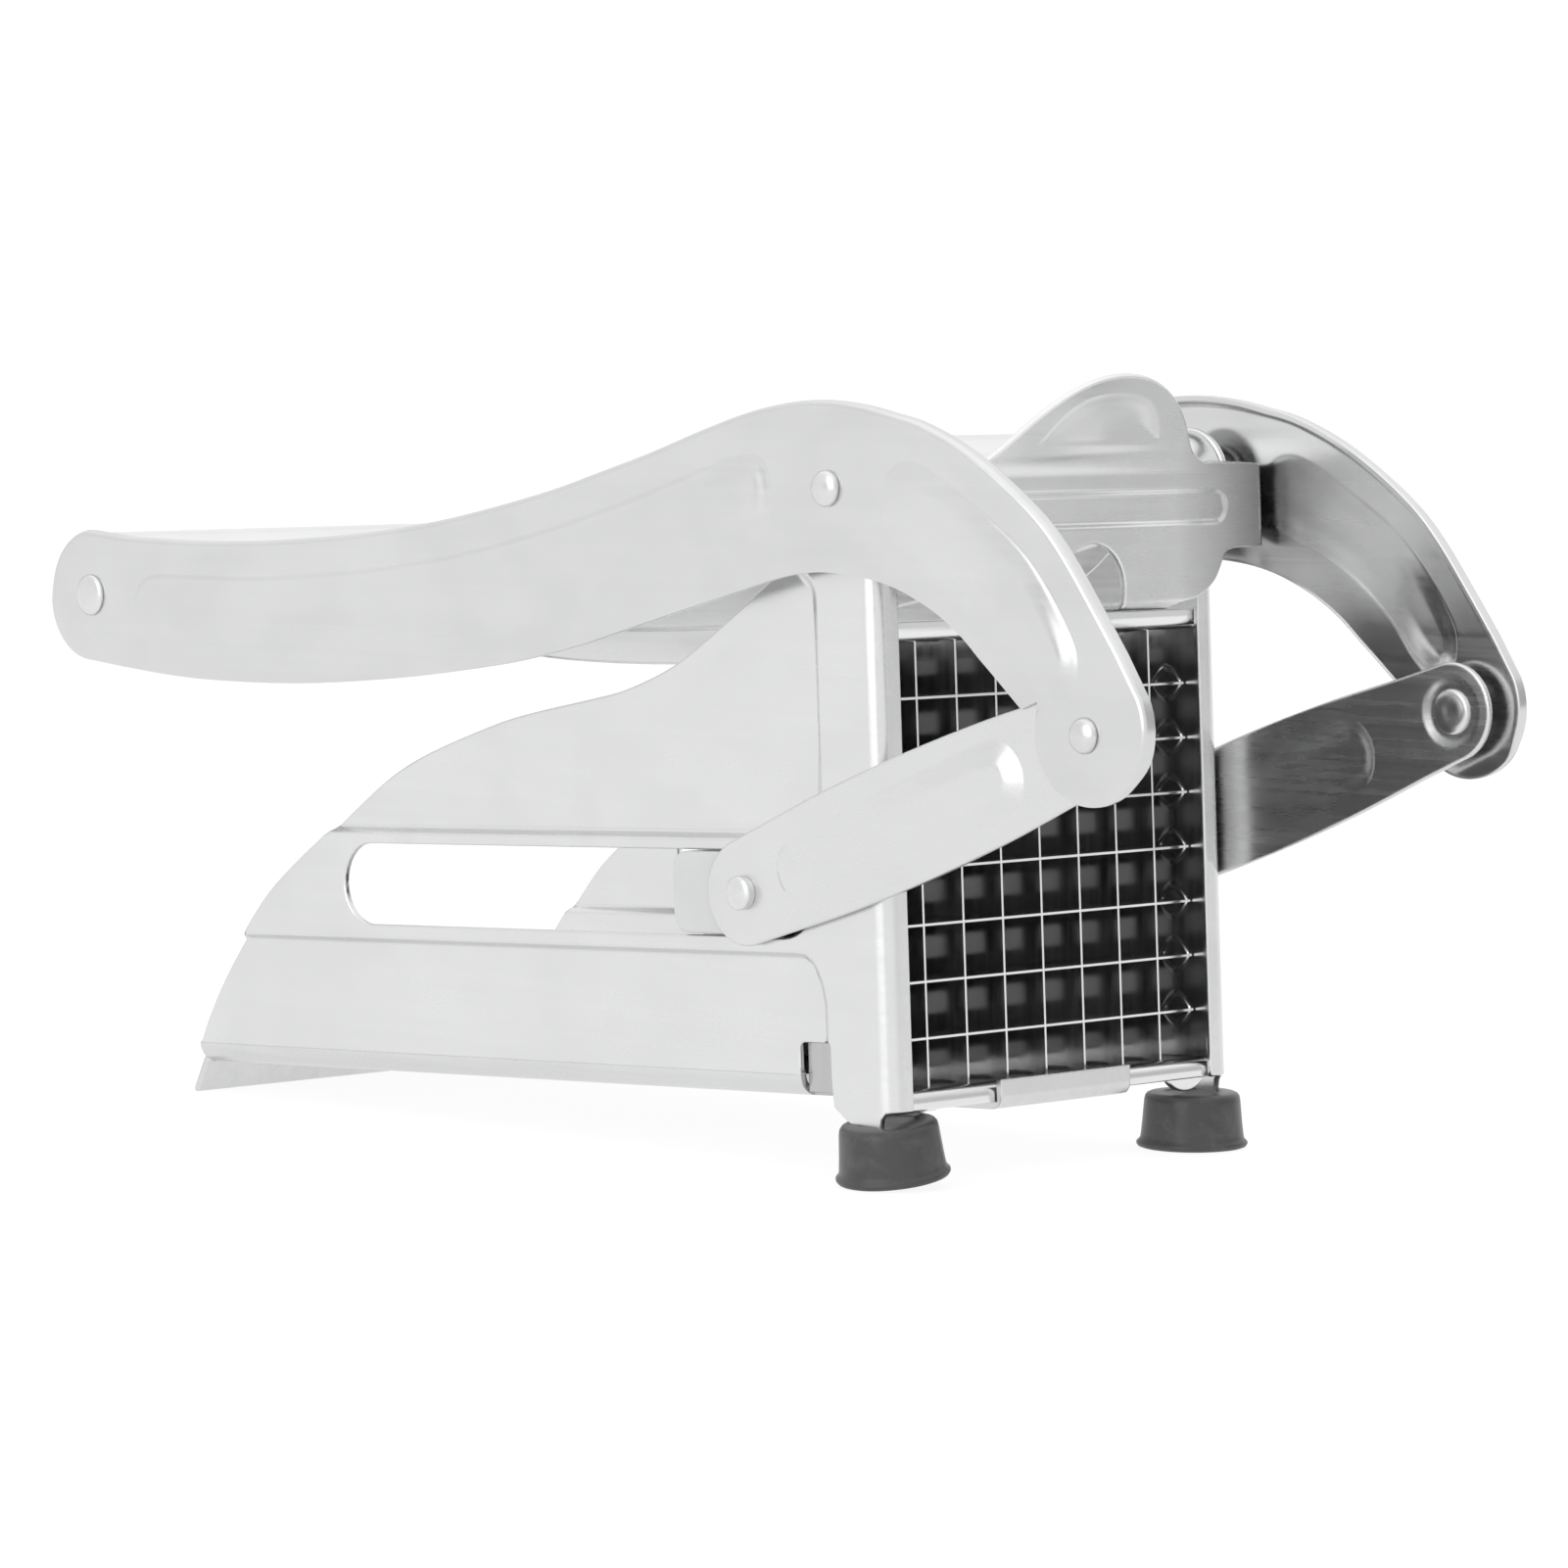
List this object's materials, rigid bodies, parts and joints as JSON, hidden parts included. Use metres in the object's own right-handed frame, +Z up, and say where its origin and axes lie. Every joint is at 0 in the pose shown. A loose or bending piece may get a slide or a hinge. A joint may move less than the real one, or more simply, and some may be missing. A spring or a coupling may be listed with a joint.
{
  "type": "potato press with blade grid",
  "caption": "Hand lever press whose pinned pusher drives a potato through a square grid of thin blades to cut it into sticks.",
  "frame": {"origin": "centre of the bounding box in plan, at the level of the surface that the feet and the rear lip stand on", "axes": "+X towards the blades, the way the cut pieces leave; +Y to the left of that; +Z up"},
  "size_m": [0.2666, 0.0924, 0.1285],
  "materials": {
    "sheet": "stamped stainless sheet, fine horizontal brushing",
    "arm": "pressed stainless arms, fine brushing along the arm",
    "link": "stamped stainless links, brushed",
    "tube": "polished stainless tube with faint drawing lines",
    "rivet": "turned and peened steel",
    "blade": "bright ground blade strip",
    "frame": "folded bright stainless sheet",
    "pusher": "moulded black plastic, satin",
    "slider": "pale low-friction plastic",
    "rubber": "soft dark rubber, satin"
  },
  "bodies": {
    "chassis": {"floor_pan": "sheet", "side_wall_left": "sheet", "side_wall_right": "sheet", "cross_tube": "tube", "pivot_axle": "rivet", "pivot_washers": "rivet", "blade_frame": "frame", "blades_vertical": "blade", "blades_horizontal": "blade", "foot_left": "rubber", "foot_right": "rubber"},
    "handle": {"handle_arm_left": "arm", "handle_arm_right": "arm", "grip_tube": "tube", "grip_rod": "rivet", "front_rivets": "rivet"},
    "pusher": {"pusher_block": "pusher", "pusher_plate": "sheet", "pusher_screws": "rivet", "slider_shoe_left": "slider", "slider_shoe_right": "slider", "pusher_rod": "rivet"},
    "link_l": {"link_left": "link", "link_pin_left": "rivet"},
    "link_r": {"link_right": "link", "link_pin_right": "rivet"},
    "latch": {"lock_plate": "sheet"}
  },
  "joints": [
    {"name": "handle_hinge", "type": "hinge", "parent": "chassis", "child": "handle", "pos_m": [0.06521, 0, 0.11009], "axis": [0, 1, 0], "range_deg": [-5, 70]},
    {"name": "pusher_slide", "type": "slide", "parent": "chassis", "child": "pusher", "axis": [0.9989, 0, 0.0471], "range_m": [-0.0755, 0.0057]},
    {"name": "link_left_hinge", "type": "hinge", "parent": "pusher", "child": "link_l", "pos_m": [0.04315, 0, 0.04508], "axis": [0, 1, 0], "range_deg": [-1.9, 22]},
    {"name": "link_right_hinge", "type": "hinge", "parent": "pusher", "child": "link_r", "pos_m": [0.04315, 0, 0.04508], "axis": [0, 1, 0], "range_deg": [-1.9, 22]},
    {"name": "latch_hinge", "type": "hinge", "parent": "chassis", "child": "latch", "pos_m": [0.06521, 0, 0.11009], "axis": [0, -1, 0], "range_deg": [0, 40]}
  ],
  "couplings": [
    {"joint": "pusher_slide", "follows": "handle_hinge", "m_per_rad": -0.0615},
    {"joint": "link_left_hinge", "follows": "handle_hinge", "ratio": 0.31},
    {"joint": "link_right_hinge", "follows": "handle_hinge", "ratio": 0.31}
  ]
}
